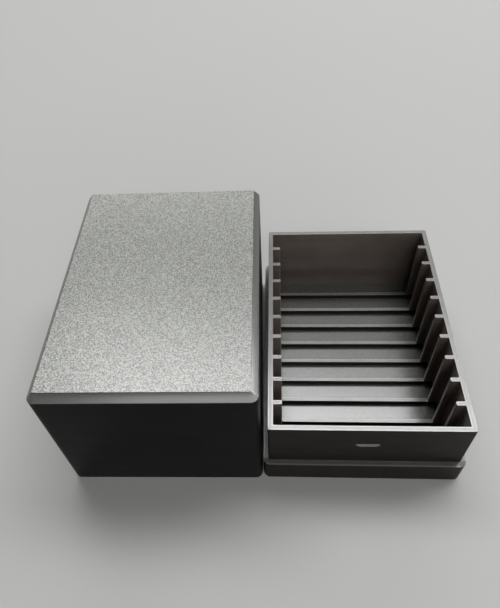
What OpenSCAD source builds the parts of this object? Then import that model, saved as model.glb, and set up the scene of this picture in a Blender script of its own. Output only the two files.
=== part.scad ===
// Storage box for flat bars that stand on edge, printed in two pieces.
// The base is a ribbed tray on a plinth. The lid drops over the tray and stands on the plinth's ledge.
// Millimetres. +X is the viewer's right, +Y is away from the viewer, and +Z is up.
// The origin is the middle of the base's underside. The lid stands on the same surface, on the left.

/* [Slots] */
// Number of slots side by side
slot_count = 10; // [2:1:16]
// Clear length of a slot, along the bar's lower edge
slot_length = 51.1; // [30:0.1:90]
// Clear thickness of a slot
slot_thickness = 6.1; // [4.5:0.1:15]
// Thickness of the ribs between two slots
rib_thickness = 1.3; // [0.8:0.05:3]
// How far a rib stands out from a side wall
side_rib_reach = 2.45; // [1:0.05:6]
// How far a rib stands up from the floor
floor_rib_height = 1.9; // [0.5:0.05:6]
// Radius at the two edges of a side rib's tip
rib_tip_radius = 0.35; // [0.1:0.05:0.6]

/* [Base] */
// Thickness of the tray's upright walls
tray_wall = 1.45; // [0.8:0.05:3]
// Thickness of the floor under the slots
floor_thickness = 1.8; // [0.8:0.1:4]
// Height of the plinth, up to the ledge that the lid stands on
plinth_height = 9.3; // [5:0.1:20]
// Height of the tray's wall above the ledge
tray_rise = 18.4; // [14:0.1:40]
// Bevel round the base's lower edge, across and up
foot_bevel = 0.6; // [0.1:0.05:1.5]

/* [Lid] */
// Thickness of the lid's walls
lid_wall = 1.3; // [1:0.05:3]
// Thickness of the lid's top
lid_top = 2; // [1:0.1:4]
// Overall height of the lid
lid_height = 46.7; // [30:0.1:90]
// Gap between the tray's wall and the lid all round
lid_gap = 0.2; // [0.1:0.05:0.5]
// How far the bevel cuts in from the lid's side
bevel_inset = 1.8; // [0.5:0.1:4]
// How far the bevel cuts down from the lid's top
bevel_drop = 2.2; // [0.5:0.1:4]
// Corner radius of the flat face inside the bevel
flat_corner_radius = 0.2; // [0.1:0.1:2]

/* [Snap] */
// Length of the snap ridge where it meets the wall
snap_length = 6.4; // [4:0.1:20]
// How much shorter the ridge's outer edge is at each end
snap_taper = 1; // [0.2:0.1:1.8]
// How far the ridge stands out from the wall
snap_reach = 0.5; // [0.4:0.05:0.8]
// Half of the ridge's height where it meets the wall
snap_half_height = 0.5; // [0.3:0.05:1.5]
// Height of the ridge's outer edge above the ledge
snap_height = 10.1; // [4:0.1:12]
// Clearance of the groove round the ridge
snap_clearance = 0.12; // [0.05:0.01:0.2]

/* [Lid beside the base] */
// Least gap between the lid and the base as they stand
stand_gap = 0.3; // [0.3:0.1:40]
// Turn of the lid about the vertical
stand_turn = 0.8; // [0:0.1:10]
// How far the lid stands nearer the viewer than the base
stand_forward = 0.5; // [0:0.1:10]

/* [Hidden] */
$fn = 64;
// How far a cut runs past the face that it opens
through = 1;
// Least radius of an upright corner
least_radius = 0.2;
// Most of a rib's thickness that the radius at one edge of its tip may take
tip_share = 0.4;

// Sizes in plan, from the slots outwards
slot_pitch = slot_thickness + rib_thickness;
inner_depth = slot_count * slot_pitch - rib_thickness;
tray_width = slot_length + 2 * tray_wall;
tray_depth = inner_depth + 2 * tray_wall;
ledge = lid_wall + lid_gap;
outer_width = tray_width + 2 * ledge;
outer_depth = tray_depth + 2 * ledge;

// Upright corners, with the same centres from the outside inwards
corner_radius = bevel_inset + flat_corner_radius;
tray_corner_radius = max(corner_radius - ledge, least_radius);
cavity_corner_radius = tray_corner_radius + lid_gap;

// Hollow of the lid
cavity_width = outer_width - 2 * lid_wall;
cavity_depth = outer_depth - 2 * lid_wall;
cavity_height = lid_height - lid_top;

// Tray
rim_height = plinth_height + tray_rise;
foot = min(foot_bevel, corner_radius - least_radius);
tip_radius = min(rib_tip_radius, tip_share * rib_thickness);

// How far the turned lid reaches from its own middle towards the base
lid_reach = (outer_width / 2 - corner_radius) * cos(stand_turn)
    + (outer_depth / 2 - corner_radius) * sin(stand_turn) + corner_radius;
lid_place = [-(outer_width / 2 + stand_gap + lid_reach), -stand_forward, 0];

// Rectangle in plan with rounded corners, centred on the origin
module rounded_rectangle(width, depth, radius) {
    square([width - 2 * radius, depth], center = true);
    square([width, depth - 2 * radius], center = true);
    for (x = [-1, 1], y = [-1, 1])
        translate([x * (width / 2 - radius), y * (depth / 2 - radius)]) circle(radius);
}

// Side view of a box whose two top edges are bevelled, standing on the origin
module bevelled_profile(width, height, inset, drop) {
    polygon([
        [-width / 2, 0],
        [width / 2, 0],
        [width / 2, height - drop],
        [width / 2 - inset, height],
        [inset - width / 2, height],
        [-width / 2, height - drop],
    ]);
}

// A profile in X and Z, carried along Y for a length, centred on the origin
module along_y(length) {
    rotate([90, 0, 0]) linear_extrude(length, center = true) children();
}

// A profile in Y and Z, carried along X for a length, centred on the origin
module along_x(length) {
    rotate([0, 0, 90]) along_y(length) children();
}

// Box with rounded upright corners and a bevel round its top, standing on the origin
module bevelled_block(width, depth, height, radius, inset, drop) {
    along_y(depth - 2 * radius) bevelled_profile(width, height, inset, drop);
    along_x(width - 2 * radius) bevelled_profile(depth, height, inset, drop);
    for (x = [-1, 1], y = [-1, 1])
        translate([x * (width / 2 - radius), y * (depth / 2 - radius), 0]) {
            cylinder(height - drop, r = radius);
            translate([0, 0, height - drop]) cylinder(drop, radius, radius - inset);
        }
}

// Box with tighter upright corners, whose bevels meet in mitres
module mitred_block(width, depth, height, radius, inset, drop) {
    intersection() {
        along_y(depth) bevelled_profile(width, height, inset, drop);
        along_x(width) bevelled_profile(depth, height, inset, drop);
        linear_extrude(height) rounded_rectangle(width, depth, radius);
    }
}

// Hip-roofed ridge on the tray's front and back walls, larger by a clearance where it cuts its groove.
// The ridge's foot lies on the wall's face, and its outer edge is at a height.
module snap_ridges(height, clearance) {
    reach = snap_reach + clearance;
    half_height = snap_half_height + clearance;
    half_length = snap_length / 2 + clearance;
    for (side = [0, 180])
        rotate(side) translate([0, -tray_depth / 2, height])
            intersection() {
                along_x(2 * half_length) polygon([[0, -half_height], [0, half_height], [-reach, 0]]);
                linear_extrude(2 * half_height, center = true)
                    polygon([
                        [-half_length, 0],
                        [half_length, 0],
                        [half_length - snap_taper, -reach],
                        [snap_taper - half_length, -reach],
                    ]);
            }
}

// Middle of each rib along Y
function rib_places() = [for (i = [1 : slot_count - 1]) i * slot_pitch - (rib_thickness + inner_depth) / 2];

// Side ribs of one wall in plan, with their tips rounded, rooted inside the wall
module side_ribs_plan() {
    tip = slot_length / 2 - side_rib_reach;
    root = slot_length / 2 + tray_wall / 2;
    for (y = rib_places())
        translate([0, y]) {
            translate([tip + tip_radius, -rib_thickness / 2])
                square([root - tip - tip_radius, rib_thickness]);
            translate([tip, tip_radius - rib_thickness / 2])
                square([tip_radius, rib_thickness - 2 * tip_radius]);
            for (edge = [-1, 1])
                translate([tip + tip_radius, edge * (rib_thickness / 2 - tip_radius)])
                    circle(tip_radius);
        }
}

// Plinth, tray walls, floor, ribs and snap ridges, in one print
module base() {
    color("#2b2b2c") {
        difference() {
            union() {
                translate([0, 0, plinth_height]) rotate([180, 0, 0])
                    bevelled_block(outer_width, outer_depth, plinth_height, corner_radius, foot, foot);
                linear_extrude(rim_height)
                    rounded_rectangle(tray_width, tray_depth, tray_corner_radius);
                snap_ridges(plinth_height + snap_height, 0);
            }
            translate([0, 0, floor_thickness])
                linear_extrude(rim_height)
                    square([slot_length, inner_depth], center = true);
        }
        for (side = [0, 180])
            rotate(side) translate([0, 0, floor_thickness / 2])
                linear_extrude(rim_height - floor_thickness / 2) side_ribs_plan();
        for (y = rib_places())
            translate([-slot_length / 2 - tray_wall / 2, y - rib_thickness / 2, floor_thickness / 2])
                cube([slot_length + tray_wall, rib_thickness, floor_thickness / 2 + floor_rib_height]);
    }
}

// Deep cover with a bevelled top, open below, with a groove inside its front and back walls
module lid() {
    color("#303031")
        translate(lid_place) rotate(stand_turn)
            difference() {
                bevelled_block(outer_width, outer_depth, lid_height, corner_radius, bevel_inset, bevel_drop);
                translate([0, 0, -through])
                    mitred_block(cavity_width, cavity_depth, cavity_height + through,
                        cavity_corner_radius, bevel_inset, bevel_drop);
                snap_ridges(snap_height, snap_clearance);
            }
}

base();
lid();
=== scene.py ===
import math

import bmesh
import bpy
import numpy as np
from mathutils import Matrix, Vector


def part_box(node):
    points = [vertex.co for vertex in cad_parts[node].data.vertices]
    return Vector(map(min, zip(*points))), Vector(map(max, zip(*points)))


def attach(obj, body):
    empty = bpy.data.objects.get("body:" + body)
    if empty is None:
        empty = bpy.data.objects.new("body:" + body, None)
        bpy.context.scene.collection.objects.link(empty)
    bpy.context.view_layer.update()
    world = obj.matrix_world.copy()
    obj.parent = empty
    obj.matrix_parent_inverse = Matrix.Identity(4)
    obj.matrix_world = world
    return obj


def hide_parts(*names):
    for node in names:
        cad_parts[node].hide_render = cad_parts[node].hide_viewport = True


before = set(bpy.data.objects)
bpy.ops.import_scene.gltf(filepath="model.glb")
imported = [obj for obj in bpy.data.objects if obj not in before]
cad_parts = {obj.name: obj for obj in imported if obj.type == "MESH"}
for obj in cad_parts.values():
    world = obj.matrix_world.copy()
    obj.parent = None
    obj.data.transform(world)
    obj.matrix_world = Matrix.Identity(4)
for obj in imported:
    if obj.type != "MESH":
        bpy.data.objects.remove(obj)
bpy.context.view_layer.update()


# The base is a ribbed tray on a plinth, printed right way up in black plastic, in one piece.
# Bars stand on edge in ten slots, between ribs on the side walls and low ribs on the floor.
# A small ridge on its front and back walls snaps into the lid. Sizes are in millimetres.

MM = 0.001
base_low, base_high = (np.array(corner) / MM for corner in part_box("base"))
outer_half = (base_high - base_low)[:2] / 2
rim_z = base_high[2]
plinth_corner = 2.0
foot_bevel = 0.6
ledge = 1.5
ledge_z = 9.3
corner_steps = 8

tray_wall = 1.45
inner_half = outer_half - ledge - tray_wall
slot_count = 10
slot_thickness = 6.1
rib_thickness = 1.3
slot_pitch = slot_thickness + rib_thickness
side_rib_reach = 2.45
rib_tip_radius = 0.35
rib_root_radius = 0.2
rib_arc_steps = 4
floor_z = 1.8
floor_rib_z = 3.7

snap_half_length = 3.2
snap_edge_half_length = 2.2
snap_half_height = 0.5
snap_reach = 0.5
snap_z = 19.4

printed_edge = 0.06
printed_edge_segments = 2
printed_edge_angle = 35
stroke_spacing = 0.475
glossy_ior = 1.66


def rounded_loop(half, radius, across, along, steps):
    """Rectangle in plan with rounded corners, counter-clockwise from the left end of its front side.

    A side runs through its own stops. A corner is its centre + radius * (sin a, -cos a), for a quarter turn.
    """
    turn = np.linspace(0, math.pi / 2, steps + 1)[1:-1]
    quarter = radius * np.stack([np.sin(turn), -np.cos(turn)], 1)
    parts = []
    for side in range(4):
        stops, reach = ((across, half[1]), (along, half[0]))[side % 2]
        end = half[side % 2] - radius
        straight = np.stack([stops, np.full(len(stops), -reach)], 1)
        corner = np.array([end, radius - reach]) + quarter
        part = np.concatenate([straight, corner])
        for _ in range(side):
            part = part[:, ::-1] * (-1, 1)
        parts.append(part)
    return np.concatenate(parts)


def at_height(plan, z):
    """Points in plan, lifted to a height."""
    return np.concatenate([plan, np.full((len(plan), 1), z)], 1)


def stacked(loops, heights):
    """Loops in plan, each lifted to its height, in one list of points."""
    return np.concatenate([at_height(loop, z) for loop, z in zip(loops, heights)])


def ring_faces(levels, count):
    """Quads from each closed ring of points to the next ring, where rings follow one another."""
    start = np.arange(levels - 1)[:, None] * count
    here = start + np.arange(count)
    beside = start + np.roll(np.arange(count), -1)
    return np.stack([here, beside, beside + count, here + count], -1).reshape(-1, 4)


class Skin:
    """Patches of one closed skin, which meet point on point, with a finish for each patch."""

    def __init__(self):
        self.points = []
        self.faces = []
        self.finishes = []
        self.count = 0

    def patch(self, points, faces, finish):
        """Adds points in millimetres, and faces that index them."""
        self.points.append(points)
        self.faces += (np.asarray(faces) + self.count).tolist()
        self.finishes += [finish] * len(faces)
        self.count += len(points)

    def wall(self, loops, heights, finish):
        """Adds the faces from each loop in plan to the next, where each loop lies at its height."""
        self.patch(stacked(loops, heights), ring_faces(len(loops), len(loops[0])), finish)

    def cap(self, loop, height, finish, turn=1):
        """Adds one flat face within a loop in plan, which faces up, or down where the turn is -1."""
        self.patch(at_height(loop, height), [np.arange(len(loop))[::turn]], finish)

    def piece(self, name, materials):
        """A piece in metres with its place in its mesh: patches joined where their points meet."""
        weld_distance = 0.001
        mesh = bpy.data.meshes.new(name)
        mesh.from_pydata(np.concatenate(self.points) * MM, [], self.faces)
        mesh.polygons.foreach_set("material_index", self.finishes)
        mesh.polygons.foreach_set("use_smooth", [True] * len(self.faces))
        for material in materials:
            mesh.materials.append(material)
        joined = bmesh.new()
        joined.from_mesh(mesh)
        bmesh.ops.remove_doubles(joined, verts=joined.verts, dist=weld_distance * MM)
        joined.to_mesh(mesh)
        joined.free()
        made = bpy.data.objects.new(name, mesh)
        bpy.context.scene.collection.objects.link(made)
        return made


class Wire:
    """A socket among a material's nodes. Python's operators on it add Math nodes."""

    def __init__(self, socket):
        self.socket = socket

    def add(self, kind, settings, sockets, output=0):
        """Adds a node of this kind: its settings first, then values or links for its sockets."""
        tree = self.socket.id_data
        node = tree.nodes.new(kind)
        for setting, value in settings.items():
            setattr(node, setting, value)
        for name, value in sockets.items():
            if isinstance(value, Wire):
                tree.links.new(value.socket, node.inputs[name])
            else:
                node.inputs[name].default_value = value
        return Wire(node.outputs[output])

    def math(self, operation, *values):
        return self.add("ShaderNodeMath", {"operation": operation}, dict(enumerate(values)))

    def into(self, socket):
        self.socket.id_data.links.new(self.socket, socket)

    def __add__(self, other):
        return self.math("ADD", self, other)

    def __sub__(self, other):
        return self.math("SUBTRACT", self, other)

    def __rsub__(self, other):
        return self.math("SUBTRACT", other, self)

    def __mul__(self, other):
        return self.math("MULTIPLY", self, other)

    def __truediv__(self, other):
        return self.math("DIVIDE", self, other)

    def __abs__(self):
        return self.math("ABSOLUTE", self)

    def least(self, other):
        return self.math("MINIMUM", self, other)

    def most(self, other):
        return self.math("MAXIMUM", self, other)

    def wave(self, length):
        """Sine of this number, with one whole turn in this length."""
        turn = self * (2 * math.pi / length)
        return turn.math("SINE", turn)

    def between(self, low, high):
        """Number that goes from low to high as this number goes from 0 to 1."""
        return self * (high - low) + low

    def ramp(self, start, end):
        """Smooth step from 0 at the start to 1 at the end."""
        sockets = {"Value": self, "From Min": start, "From Max": end}
        return self.add("ShaderNodeMapRange", {"interpolation_type": "SMOOTHSTEP"}, sockets)

    def blend(self, first, second):
        """Colour that goes from the first to the second as this number goes from 0 to 1.

        The Mix node's colours are its inputs 6 and 7, and its output 2.
        """
        return self.add("ShaderNodeMix", {"data_type": "RGBA"}, {0: self, 6: first, 7: second}, 2)

    def relief(self, depth):
        """Normal of a surface whose height follows this number, as deep as this in millimetres."""
        sockets = {"Height": self, "Distance": depth * MM, "Strength": 1.0}
        return self.add("ShaderNodeBump", {}, sockets, "Normal")

    def axes(self):
        """The three numbers of a place in metres, in millimetres."""
        split = self.add("ShaderNodeSeparateXYZ", {}, {"Vector": self})
        return [Wire(socket) * (1 / MM) for socket in split.socket.node.outputs]

    def noise(self, size, detail):
        """Cloudy noise from 0 to 1 whose lumps have this size in millimetres along X, Y and Z."""
        stretch = {0: self, 1: [1 / (MM * length) for length in size]}
        stretched = self.add("ShaderNodeVectorMath", {"operation": "MULTIPLY"}, stretch)
        return self.add("ShaderNodeTexNoise", {}, {"Vector": stretched, "Scale": 1.0, "Detail": detail})


def new_material(name, **sockets):
    """A material with these fixed values on its shader, the shader's sockets, and the place on the piece."""
    material = bpy.data.materials.new(name)
    material.use_nodes = True
    nodes = material.node_tree.nodes
    shader = nodes["Principled BSDF"].inputs
    for socket, value in sockets.items():
        shader[socket.replace("_", " ")].default_value = value
    return material, shader, Wire(nodes.new("ShaderNodeTexCoord").outputs["Object"])


def layered_wall(name, dark, light, shine):
    """Upright printed wall: a fine step at each layer, with faint streaks along the layers."""
    layer_height = 0.2
    step_share = 0.3
    streak_size = (30, 30, 0.7)
    cloud_size = (9, 9, 5)
    relief_depth = 0.008
    material, shader, place = new_material(name, Specular_IOR_Level=shine)
    step = place.axes()[2].wave(layer_height)
    streak = place.noise(streak_size, 3)
    cloud = place.noise(cloud_size, 2)
    (streak * 0.5 + cloud * 0.5).ramp(0.3, 0.7).blend(dark, light).into(shader["Base Color"])
    streak.between(0.3, 0.5).into(shader["Roughness"])
    (step * step_share + streak).relief(relief_depth).into(shader["Normal"])
    return material


def nozzle_strokes(diagonal):
    """Height from 0 to 1 of the slanting strokes that fill a printed face, across one of its diagonals."""
    return diagonal.wave(stroke_spacing * math.sqrt(2)).between(0.5, 1)


def printed_top(name, dark, light, shine):
    """Upward printed face: rounded beads of plastic along its outline, and slanting strokes inside it.

    The height of a bead is 1 - t^2 across its width, where t goes from -1 to 1.
    """
    bead = 0.38
    soft = 0.06
    bead_height = 1.2
    stroke_height = 1.5
    drift_size = (2.5, 2.5, 2.5)
    drift_height = 0.2
    valley_rough = 0.2
    relief_depth = 0.006
    material, shader, place = new_material(name, Specular_IOR_Level=shine, IOR=glossy_ior)
    x, y, z = place.axes()
    side = abs(x)
    end = abs(y)
    pitches = y / slot_pitch
    in_rib = rib_thickness / 2 - pitches.math("PINGPONG", pitches, 0.5) * slot_pitch
    in_tip = side - (inner_half[0] - side_rib_reach)
    in_side = tray_wall / 2 - abs(side - (inner_half[0] + tray_wall / 2))
    in_end = tray_wall / 2 - abs(end - (inner_half[1] + tray_wall / 2))
    on_rim = in_rib.least(in_tip).most(in_side).most(in_end)
    on_ledge = (outer_half[0] - side).least(outer_half[1] - end)
    # The height tells the floor ribs, the ledge and the rim apart.
    rim = z.ramp(rim_z - 2, rim_z - 1)
    plinth = z.ramp(floor_rib_z + 0.5, ledge_z - 0.5)
    from_edge = in_rib * (1 - plinth) + on_ledge * (plinth - rim) + on_rim * rim
    across = from_edge * (2 / bead) - 1
    rounded = 1 - (across * across).least(1)
    fill = from_edge.ramp(bead - soft, bead + soft)
    stroke = nozzle_strokes(x + y)
    drift = place.noise(drift_size, 2)
    shaded_valley = fill * (1 - stroke)
    height = rounded * bead_height + fill * stroke * stroke_height + drift * drift_height
    # Painted light and shade: the light colour is far lighter than the plastic, for the light an upward face
    # catches, and the colour is painted darker in the gaps between the strokes.
    (drift.between(0.7, 1) - shaded_valley).ramp(-0.15, 1).blend(dark, light).into(shader["Base Color"])
    (drift.between(0.17, 0.2) + shaded_valley * valley_rough).into(shader["Roughness"])
    height.relief(relief_depth).into(shader["Normal"])
    return material


def slot_floor(name, dark, light):
    """Floor of a slot, filled with fine slanting strokes that lie nearly flat, with a brushed look."""
    drift_size = (0.9, 0.9, 0.9)
    drift_height = 0.08
    relief_depth = 0.005
    material, shader, place = new_material(name, Specular_IOR_Level=1.0, IOR=glossy_ior)
    x, y = place.axes()[:2]
    stroke = nozzle_strokes(x - y)
    drift = place.noise(drift_size, 3)
    drift.ramp(0.1, 0.9).blend(dark, light).into(shader["Base Color"])
    drift.between(0.21, 0.24).into(shader["Roughness"])
    (stroke + drift * drift_height).relief(relief_depth).into(shader["Normal"])
    return material


def plate_grain(name, dark, light):
    """Face printed against the grained plate: fine pebbles whose tops are painted light as glints, with the
    pits between them painted dark as shade and a little duller.
    """
    pebble_size = (0.31, 0.31, 0.31)
    relief_depth = 0.012
    material, shader, place = new_material(name, Specular_IOR_Level=1.0, IOR=glossy_ior)
    pebble = place.noise(pebble_size, 1)
    painted_glint = pebble.ramp(0.34, 0.66)
    # Painted glints and shade: the pebble tops are coloured light and the pits between them dark.
    painted_glint.blend(dark, light).into(shader["Base Color"])
    painted_glint.between(0.35, 0.3).into(shader["Roughness"])
    pebble.relief(relief_depth).into(shader["Normal"])
    return material


def rib_contour():
    """Plan of one slot's end and of one rib's tip on the right wall, from front to back.

    X is from the wall's face and Y from the slot's front or the rib's front. Each round is a quarter arc.
    """
    turn = np.linspace(0, math.pi / 2, rib_arc_steps + 1)
    rise = np.stack([np.sin(turn), 1 - np.cos(turn)], 1)
    root = rib_root_radius * (rise - (1, 0))
    start = np.array([[rib_tip_radius - side_rib_reach, 0]])
    slot_end = np.concatenate([start, root])
    slot_end = np.concatenate([slot_end, slot_end[::-1] * (1, -1) + (0, slot_thickness)])
    rib_tip = rib_tip_radius * (rise * (-1, 1) + (1, 0)) - (side_rib_reach, 0)
    rib_tip = np.concatenate([rib_tip, rib_tip[::-1] * (1, -1) + (0, rib_thickness)])
    return slot_end, rib_tip


def both_sides(right, front, back):
    """Closed outline that is the same on the left: the right side, then a middle point at each end."""
    left = right[::-1] * (-1, 1)
    return np.concatenate([right, [(0, back)], left, [(0, front)]])


WALL, TOP, PLATE, INSIDE, FLOOR, LEDGE = range(6)
tray = Skin()

# The plinth's sides have points where the tray's wall has its snap ridge, so that both meet point on point.
snap_ends = np.array([snap_edge_half_length, snap_half_length])
straight = outer_half - plinth_corner
across = np.concatenate([[-straight[0]], -snap_ends[::-1], [0], snap_ends, [straight[0]]])
along = np.array([-straight[1], straight[1]])
foot_loop, plinth_loop, tray_loop = (
    rounded_loop(outer_half - inset, plinth_corner - inset, across, along, corner_steps)
    for inset in (foot_bevel, 0, ledge))
tray.wall([foot_loop, plinth_loop, plinth_loop], [0, foot_bevel, ledge_z], WALL)
tray.wall([plinth_loop, tray_loop], [ledge_z, ledge_z], LEDGE)
tray.cap(foot_loop, 0, PLATE, -1)

# The tray's outer wall goes up through the foot, edge and head of the snap ridge.
wall_heights = (ledge_z, snap_z - snap_half_height, snap_z, snap_z + snap_half_height, rim_z)
wall = stacked([tray_loop] * len(wall_heights), wall_heights)
on_ridge = (np.abs(wall[:, 0]) <= snap_edge_half_length) & (wall[:, 2] == snap_z)
wall[:, 1] += on_ridge * np.sign(wall[:, 1]) * snap_reach
quads = ring_faces(len(wall_heights), len(tray_loop))
ridge_points = on_ridge[quads].sum(1)
hips = quads[ridge_points == 1]
peak = on_ridge[hips].argmax(1)[:, None]
hips = np.take_along_axis(hips, (peak + np.arange(4)) % 4, 1)
tray.patch(wall, quads[ridge_points == 0], WALL)
# The ridge takes the inner walls' lighter colour: painted light, where its slopes catch the light.
tray.patch(wall, quads[ridge_points > 1], INSIDE)
tray.patch(wall, np.concatenate([hips[:, :3], hips[:, [0, 2, 3]]]), INSIDE)

# The inside is a comb in plan, down to the floor ribs, with ten pockets below.
slot_end, rib_tip = rib_contour()
slot_fronts = -inner_half[1] + slot_pitch * np.arange(slot_count)
right_side = []
for front in slot_fronts:
    right_side.append(slot_end + (inner_half[0], front))
    right_side.append(rib_tip[1:-1] + (inner_half[0], front + slot_thickness))
right_side = np.concatenate(right_side[:-1])
comb = both_sides(right_side, -inner_half[1], inner_half[1])
tray.wall([comb, comb], [rim_z, floor_rib_z], INSIDE)
for front in slot_fronts:
    pocket = both_sides(slot_end + (inner_half[0], front), front, front + slot_thickness)
    # Pocket walls below the floor ribs take the outer walls' darker colour, as painted shade in the
    # recesses; the back pocket keeps the lighter colour of the back wall above it.
    tray.wall([pocket, pocket], [floor_rib_z, floor_z], INSIDE if front == slot_fronts[-1] else WALL)
    tray.cap(pocket, floor_z, FLOOR)
for front in slot_fronts[:-1] + slot_thickness:
    floor_rib = both_sides(rib_tip + (inner_half[0], front), front, front + rib_thickness)
    tray.cap(floor_rib, floor_rib_z, TOP)

# The rim is closed in two halves, which meet in the middle of the front and of the back.
front_middle, back_middle = np.flatnonzero(tray_loop[:, 0] == 0)
tray_right = tray_loop[front_middle:back_middle + 1]
comb_right = np.concatenate([[(0, -inner_half[1])], right_side, [(0, inner_half[1])]])
right_rim = np.concatenate([tray_right, comb_right[::-1]])
left_rim = (right_rim * (-1, 1))[::-1]
tray.cap(right_rim, rim_z, TOP)
tray.cap(left_rim, rim_z, TOP)

# One black plastic: its colour is painted far lighter on the rim, the ledge, the floor ribs, the slot floors
# and the inner walls, for the light they catch and mirror, and painted darkest on the outer walls, as shade.
base_piece = tray.piece("ribbed_tray", [
    layered_wall("tray_layered_wall", (0.0084, 0.0069, 0.0057, 1), (0.0136, 0.0115, 0.0097, 1), 0.095),
    printed_top("tray_printed_top", (0.022, 0.022, 0.021, 1), (0.21, 0.21, 0.202, 1), 1.0),
    plate_grain("tray_underside", (0.04, 0.04, 0.039, 1), (0.1, 0.1, 0.097, 1)),
    layered_wall("tray_inner_wall", (0.081, 0.065, 0.055, 1), (0.114, 0.093, 0.08, 1), 0.6),
    slot_floor("tray_slot_floor", (0.062, 0.062, 0.059, 1), (0.092, 0.092, 0.088, 1)),
    printed_top("tray_printed_ledge", (0.022, 0.021, 0.02, 1), (0.21, 0.204, 0.193, 1), 0.35),
])
edges = base_piece.modifiers.new("printed edges", "BEVEL")
edges.width = printed_edge * MM
edges.segments = printed_edge_segments
# The rounded edges take the inner walls' lighter colour, so that they show as light lines: painted
# highlights.
edges.material = INSIDE
edges.limit_method = "ANGLE"
edges.angle_limit = math.radians(printed_edge_angle)
edges.use_clamp_overlap = False
edges.loop_slide = False
base_piece.modifiers.new("even shading", "WEIGHTED_NORMAL")
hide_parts("base")
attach(base_piece, "base")


# The lid is a deep cover in the same plastic, printed upside down, so its top took the plate's grain.
# A plain bevel runs round the top, and a groove inside the front and back walls takes the tray's ridge.
# It stands on its open rim beside the base, turned a little.

lid_low, lid_high = (np.array(corner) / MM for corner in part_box("lid"))
lid_middle = (lid_low + lid_high)[:2] / 2
lid_z = lid_high[2]
lid_turn = math.radians(0.8)
lid_wall = 1.3
lid_top = 2.0
bevel_inset = 1.8
bevel_drop = 2.2
edge_radius = 0.2
bevel_foot_radius = 0.3
least_corner = 0.05
lid_corner_steps = 6
top_margin = 0.3
ceiling_margin = 0.5

groove_half_length = 3.0
groove_taper = 0.68
groove_half_height = 0.42
groove_depth = 0.42
groove_z = 10.1

grain_step = 0.26
grain_length = 0.78
grain_depth = 0.012
grain_seed = 5


def rounded_profile(corners, radii, steps):
    """A profile of inset and height whose inner corners are rounded to these radii.

    Each round is an arc that touches both sides, given by its tangent points and swept evenly in angle.
    """
    corners = np.array(corners, float)
    before = corners[:-2] - corners[1:-1]
    after = corners[2:] - corners[1:-1]
    before /= np.linalg.norm(before, axis=1)[:, None]
    after /= np.linalg.norm(after, axis=1)[:, None]
    half_angle = np.arccos((before * after).sum(1)) / 2
    middle = before + after
    middle /= np.linalg.norm(middle, axis=1)[:, None]
    radii = np.array(radii)
    centre = corners[1:-1] + middle * (radii / np.sin(half_angle))[:, None]
    share = np.linspace(-1, 1, steps + 1)[None, :, None]
    sweep = share * (math.pi / 2 - half_angle)[:, None, None]
    sideways = after - before
    sideways /= np.linalg.norm(sideways, axis=1)[:, None]
    round_part = np.sin(sweep) * sideways[:, None] - np.cos(sweep) * middle[:, None]
    arcs = centre[:, None] + radii[:, None, None] * round_part
    return np.concatenate([corners[:1], arcs.reshape(-1, 2), corners[-1:]])


def lid_loop(inset, stops_across, stops_along):
    """Outline of the lid at an inset, whose corners keep one centre until they are nearly sharp."""
    radius = max(plinth_corner - inset, 0 if inset > plinth_corner else least_corner)
    half = outer_half - inset
    end = half - radius
    return rounded_loop(half, radius, stops_across * end[0], stops_along * end[1], lid_corner_steps)


def in_place(points):
    """Points of the lid about its own middle, turned and moved to where it stands."""
    turn = np.array([[math.cos(lid_turn), math.sin(lid_turn)], [-math.sin(lid_turn), math.cos(lid_turn)]])
    return np.concatenate([points[:, :2] @ turn + lid_middle, points[:, 2:]], 1)


def pebbled(shape, spacing, seed):
    """Even random grain: white noise through a filter that peaks at one wavelength.

    A wave of k turns in the grain's length keeps a share of k^2 * exp(-k^2).
    """
    white = np.random.default_rng(seed).standard_normal(shape)
    waves = [np.fft.fftfreq(count, spacing) * grain_length for count in shape]
    square = waves[0][:, None] ** 2 + waves[1][None, :] ** 2
    grain = np.fft.ifft2(np.fft.fft2(white) * square * np.exp(-square)).real
    return grain / grain.std()


def satin_bevel(name, dark, light):
    """Sloping printed face: shallow layers that lie along it as faint streaks, with a soft shine."""
    streak_size = (14, 14, 0.25)
    relief_depth = 0.01
    material, shader, place = new_material(name, Specular_IOR_Level=1.0, IOR=1.6)
    streak = place.noise(streak_size, 3)
    streak.blend(dark, light).into(shader["Base Color"])
    streak.between(0.21, 0.29).into(shader["Roughness"])
    streak.relief(relief_depth).into(shader["Normal"])
    return material


WALL, TOP, PLATE, INSIDE, BEVEL = range(5)
lid = Skin()

# One profile of inset and height goes round the lid: down the bevel and the wall, and up the inside.
flat_inset = bevel_inset + top_margin
flat_half = outer_half - flat_inset
grain_counts = np.round(2 * flat_half / grain_step).astype(int)
stops_across, stops_along = (np.linspace(-1, 1, count + 1) for count in grain_counts)
ceiling_z = lid_z - lid_top
ceiling_inset = lid_wall + bevel_inset

outer_profile = rounded_profile(
    [(flat_inset, lid_z), (bevel_inset, lid_z), (0, lid_z - bevel_drop), (0, 0), (lid_wall, 0),
     (lid_wall, groove_z)],
    [edge_radius, bevel_foot_radius, edge_radius, edge_radius], 3)
inner_profile = rounded_profile(
    [(lid_wall, groove_z + groove_half_height), (lid_wall, ceiling_z - bevel_drop),
     (ceiling_inset, ceiling_z), (ceiling_inset + ceiling_margin, ceiling_z)],
    [edge_radius, edge_radius], 2)
profile = np.concatenate([
    outer_profile[:-1],
    [(lid_wall, groove_z - groove_half_height), (lid_wall, groove_z)],
    inner_profile,
])
loops = [lid_loop(inset, stops_across, stops_along) for inset in profile[:, 0]]
loop_count = len(loops[0])
shell = stacked(loops, profile[:, 1])
inside = np.repeat(np.isclose(profile[:, 0], lid_wall), loop_count)
ends = inside & (np.abs(shell[:, 1]) > outer_half[1] - lid_wall - least_corner)
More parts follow.
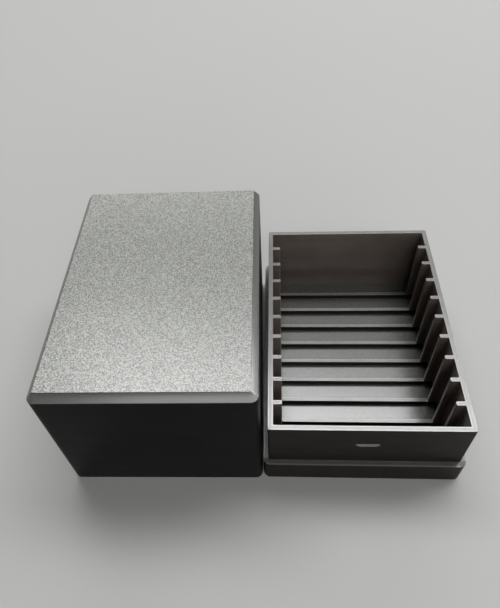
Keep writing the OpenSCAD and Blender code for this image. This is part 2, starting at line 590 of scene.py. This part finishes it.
groove = np.minimum(
    1 - np.abs(shell[:, 2] - groove_z) / groove_half_height,
    (groove_half_length - np.abs(shell[:, 0])) / groove_taper)
shell[:, 1] += ends * np.sign(shell[:, 1]) * groove_depth * np.clip(groove, 0, 1)

# Each finish takes a number of the profile's steps, in their order.
shell_faces = ring_faces(len(profile), loop_count)[:, ::-1]
step_finish = np.repeat([PLATE, BEVEL, WALL, TOP, WALL, INSIDE, TOP], [2, 5, 3, 5, 1, 7, 3])
face_finish = np.repeat(step_finish, loop_count)
for finish in (PLATE, BEVEL, TOP, INSIDE, WALL):
    lid.patch(in_place(shell), shell_faces[face_finish == finish], finish)
ceiling = at_height(loops[-1], ceiling_z)
lid.patch(in_place(ceiling), [np.arange(loop_count)[::-1]], TOP)

# The grain of the top is real relief, which fades out in the last step before the edge.
grid_x, grid_y = np.meshgrid(stops_across * flat_half[0], stops_along * flat_half[1], indexing="ij")
grain = pebbled(grid_x.shape, grain_step, grain_seed) * grain_depth
grain[[0, -1], :] = 0
grain[:, [0, -1]] = 0
top = np.stack([grid_x, grid_y, lid_z + np.minimum(grain, 0)], -1).reshape(-1, 3)
rows, columns = grid_x.shape
cell = np.arange(rows - 1)[:, None] * columns + np.arange(columns - 1)
top_faces = np.stack([cell, cell + columns, cell + columns + 1, cell + 1], -1).reshape(-1, 4)
lid.patch(in_place(top), top_faces, PLATE)

# The same black plastic: its colour is painted far lighter on the grained top and on the rim and ceiling,
# for the light they catch, and painted darkest on the outer walls, as shade.
lid_piece = lid.piece("bevelled_lid", [
    layered_wall("lid_layered_wall", (0.003, 0.003, 0.003, 1), (0.005, 0.005, 0.0049, 1), 0.06),
    printed_top("lid_printed_rim", (0.022, 0.022, 0.021, 1), (0.21, 0.21, 0.202, 1), 1.0),
    plate_grain("lid_grained_top", (0.015, 0.0158, 0.0137, 1), (0.288, 0.301, 0.264, 1)),
    layered_wall("lid_inner_wall", (0.011, 0.011, 0.011, 1), (0.018, 0.018, 0.018, 1), 0.5),
    satin_bevel("lid_satin_bevel", (0.022, 0.022, 0.022, 1), (0.039, 0.039, 0.038, 1)),
])
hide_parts("lid")
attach(lid_piece, "lid")


# The stage is a plain pale floor, which runs far off into an even background of the same pale grey.
# Seven soft lights stand round the object, out of the camera's sight, with a weak even fill between them.

floor_half = 6.0
sweep_start = 350
sweep_end = 1000
cloud_size = (400, 400, 400)
floor_dark = (0.45, 0.45, 0.44, 1)
floor_light = (0.48, 0.48, 0.47, 1)
pale = (0.54, 0.54, 0.53, 1)
fill = (0.07, 0.07, 0.07, 1)
satin = 0.28
dull = 0.95
horizon_low = math.sin(math.radians(18))
horizon_high = math.sin(math.radians(32))


def to_the_eye(place):
    """1 on rays that show the stage, straight or in gloss or glass, and 0 on rays that light the object."""
    camera_ray = place.add("ShaderNodeLightPath", {}, {}, "Is Camera Ray")
    outputs = camera_ray.socket.node.outputs
    return (camera_ray + Wire(outputs["Is Glossy Ray"]) + Wire(outputs["Is Transmission Ray"])).least(1)


def soft_light(name, azimuth, elevation, distance, size, radiance):
    """A flat rectangular lamp that faces the object from an azimuth, where 0 is behind the object.

    Its power is pi * area * radiance, because such a lamp shines evenly over its face.
    """
    lamp = bpy.data.lights.new(name, "AREA")
    lamp.shape = "RECTANGLE"
    lamp.size, lamp.size_y = size
    lamp.energy = math.pi * size[0] * size[1] * radiance
    light = bpy.data.objects.new(name, lamp)
    turn = Matrix.Rotation(math.radians(-azimuth), 4, "Z") @ Matrix.Rotation(math.radians(elevation), 4, "X")
    away = Matrix.Translation((0, distance, 0))
    facing = Matrix.Rotation(math.radians(-90), 4, "X")
    light.matrix_world = turn @ away @ facing
    light.visible_camera = False
    bpy.context.scene.collection.objects.link(light)


floor_corners = [(x * floor_half, y * floor_half, 0) for x, y in ((-1, -1), (1, -1), (1, 1), (-1, 1))]
floor_mesh = bpy.data.meshes.new("floor")
floor_mesh.from_pydata(floor_corners, [], [(0, 1, 2, 3)])
floor = bpy.data.objects.new("floor", floor_mesh)
bpy.context.scene.collection.objects.link(floor)
floor_paint, floor_shader, floor_place = new_material("pale_floor", Specular_IOR_Level=0.2)
floor_place.noise(cloud_size, 2).blend(floor_dark, floor_light).into(floor_shader["Base Color"])

# The floor is dull to the camera, and satin where the object mirrors it.
camera_ray = floor_place.add("ShaderNodeLightPath", {}, {}, "Is Camera Ray")
camera_ray.between(satin, dull).into(floor_shader["Roughness"])

floor_nodes = floor_paint.node_tree.nodes
floor_x, floor_y = floor_place.axes()[:2]
square = floor_x * floor_x + floor_y * floor_y
far_off = square.math("SQRT", square).ramp(sweep_start, sweep_end)
glow = floor_place.add("ShaderNodeEmission", {}, {"Color": pale, "Strength": 1.0})
lit = Wire(floor_nodes["Principled BSDF"].outputs["BSDF"])
swept = floor_place.add("ShaderNodeMixShader", {}, {0: far_off * to_the_eye(floor_place), 1: lit, 2: glow})
swept.into(floor_nodes["Material Output"].inputs["Surface"])
floor_mesh.materials.append(floor_paint)

soft_light("overhead_softbox", azimuth=12, elevation=68.5, distance=1.6, size=(1.9, 0.5), radiance=6.6)
soft_light("right_back_softbox", azimuth=44, elevation=49, distance=1.6, size=(0.6, 0.36), radiance=3.2)
soft_light("back_softbox", azimuth=0, elevation=32, distance=1.6, size=(2.0, 0.28), radiance=4.5)
soft_light("front_softbox", azimuth=165, elevation=18, distance=1.4, size=(1.8, 0.34), radiance=2.7)
soft_light("high_front_softbox", azimuth=167, elevation=46, distance=1.4, size=(0.7, 0.34), radiance=6.0)
soft_light("right_softbox", azimuth=66, elevation=7, distance=1.5, size=(0.5, 0.3), radiance=12.0)
soft_light("right_front_softbox", azimuth=106, elevation=9, distance=1.5, size=(1.4, 0.34), radiance=3.2)

world = bpy.data.worlds.new("even_fill")
world.use_nodes = True
world_nodes = world.node_tree.nodes
direction = Wire(world_nodes.new("ShaderNodeTexCoord").outputs["Generated"])
rise = direction.add("ShaderNodeSeparateXYZ", {}, {"Vector": direction}, "Z")
horizon = 1 - rise.ramp(horizon_low, horizon_high)
(horizon * to_the_eye(direction)).blend(fill, pale).into(world_nodes["Background"].inputs["Color"])
bpy.context.scene.world = world
bpy.context.scene.view_settings.view_transform = "Standard"


# The camera stands where the photograph's did, looking down at the lid and into the tray.
# Its lens comes from the focal length in pixels of a picture 608 pixels high.

picture = (500, 608)
focal_pixels = 546.36
picture_centre = (240.79, 293.99)
camera_place = (-24.48, -104.25, 159.55)
pitch, yaw, roll = (math.radians(angle) for angle in (49.157, -5.705, -4.646))

forward = np.array([math.sin(yaw) * math.cos(pitch), math.cos(yaw) * math.cos(pitch), -math.sin(pitch)])
right = np.array([math.cos(yaw), -math.sin(yaw), 0])
up = np.cross(right, forward)
rolled_right = right * math.cos(roll) + up * math.sin(roll)
rolled_up = up * math.cos(roll) - right * math.sin(roll)
camera_matrix = np.eye(4)
camera_matrix[:3, :3] = np.stack([rolled_right, rolled_up, -forward], 1)
camera_matrix[:3, 3] = np.array(camera_place) * MM

camera_data = bpy.data.cameras.new("camera")
camera_data.sensor_width = 36
camera_data.lens = focal_pixels / picture[1] * camera_data.sensor_width
camera_data.shift_x = (picture[0] / 2 - picture_centre[0]) / picture[1]
camera_data.shift_y = (picture_centre[1] - picture[1] / 2) / picture[1]
camera_data.clip_start = 0.01
camera = bpy.data.objects.new("camera", camera_data)
camera.matrix_world = Matrix(camera_matrix.tolist())
bpy.context.scene.collection.objects.link(camera)
bpy.context.scene.camera = camera
